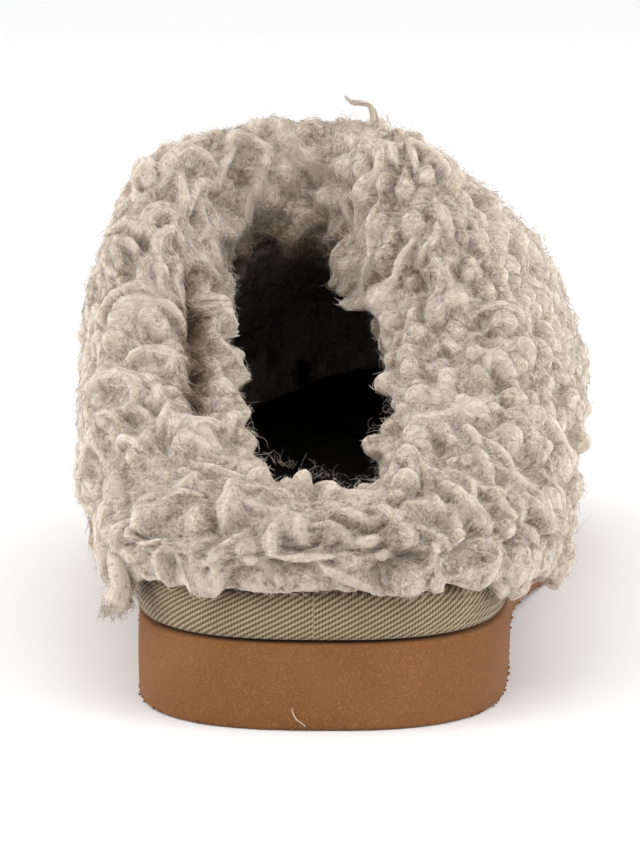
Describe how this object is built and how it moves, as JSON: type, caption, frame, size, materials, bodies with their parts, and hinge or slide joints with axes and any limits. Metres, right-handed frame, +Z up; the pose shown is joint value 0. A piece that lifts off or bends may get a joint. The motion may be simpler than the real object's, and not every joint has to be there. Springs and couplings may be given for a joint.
{
  "type": "sheepskin slipper",
  "caption": "Low-backed clog slipper for the left foot, with deep curly fleece outside and inside, a twill binding tape and a thick foam sole.",
  "frame": {"origin": "on the floor, under the middle of the slipper's box", "axes": "+Y from heel to toe, +X towards the inner side of the left foot, +Z up"},
  "size_m": [0.113, 0.279, 0.1037],
  "materials": {
    "sole_foam": "matt closed-cell foam, cut edge with a suede-like nap",
    "twill_tape": "khaki cotton twill with diagonal ribs",
    "insole_fleece": "short fleece pile",
    "curly_fleece": "deep curled sheepskin fleece in greyed beige"
  },
  "bodies": {
    "root": {"outsole": "sole_foam", "binding_tape": "twill_tape", "insole": "insole_fleece", "upper": "curly_fleece"}
  },
  "joints": []
}
